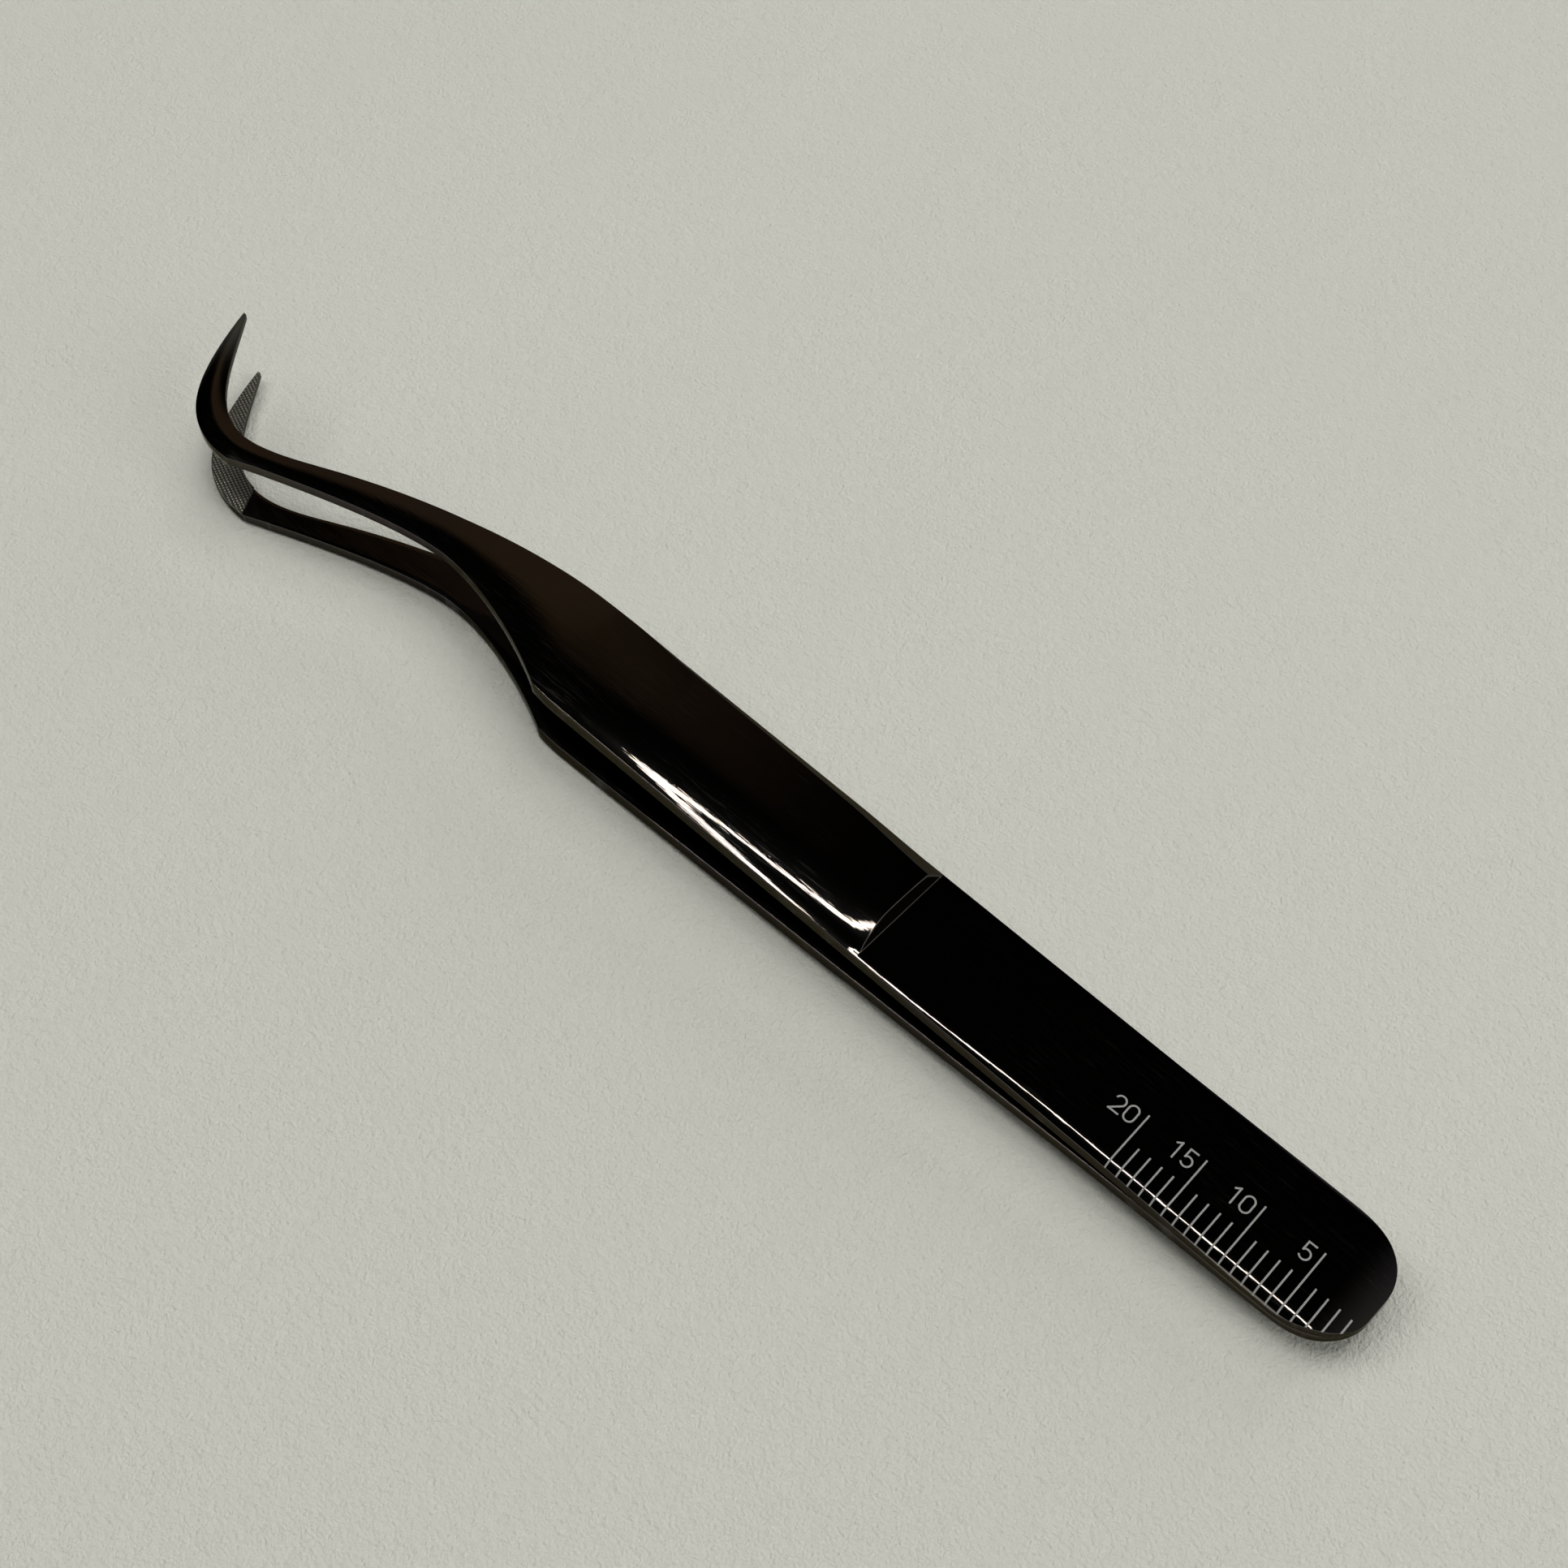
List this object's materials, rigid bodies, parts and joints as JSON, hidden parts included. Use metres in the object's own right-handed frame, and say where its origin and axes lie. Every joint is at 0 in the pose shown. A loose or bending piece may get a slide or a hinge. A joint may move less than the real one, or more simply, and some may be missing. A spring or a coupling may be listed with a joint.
{
  "type": "hooked precision tweezers",
  "caption": "Spring tweezers with a long flat grip, a slim offset neck and a hooked fine tip, two welded leaf arms and a millimetre ruler on the tail.",
  "frame": {"origin": "on the weld plane between the arms, at the end of the tail, on the tail's centre line", "axes": "+X from the tail to the tips, +Z across the opening from the lower arm to the upper arm, hook of the tips towards -Y"},
  "size_m": [0.122, 0.0114, 0.0082],
  "materials": {
    "coated_steel": "mirror polished black coating",
    "weld_steel": "as welded",
    "laser_marking": "matt laser marking"
  },
  "bodies": {
    "root": {"upper_tail": "coated_steel", "lower_tail": "coated_steel", "spot_welds": "weld_steel", "ruler_marks": "laser_marking"},
    "upper_arm": {"upper_blade": "coated_steel"},
    "lower_arm": {"lower_blade": "coated_steel"}
  },
  "joints": [
    {"name": "upper_arm_flex", "type": "hinge", "parent": "root", "child": "upper_arm", "pos_m": [0.0275, 0, 0.00124], "axis": [0, 1, 0], "range_deg": [0, 2], "stiffness_Nm_per_rad": 0.45},
    {"name": "lower_arm_flex", "type": "hinge", "parent": "root", "child": "lower_arm", "pos_m": [0.0275, 0, -0.00124], "axis": [0, -1, 0], "range_deg": [0, 2], "stiffness_Nm_per_rad": 0.45}
  ]
}
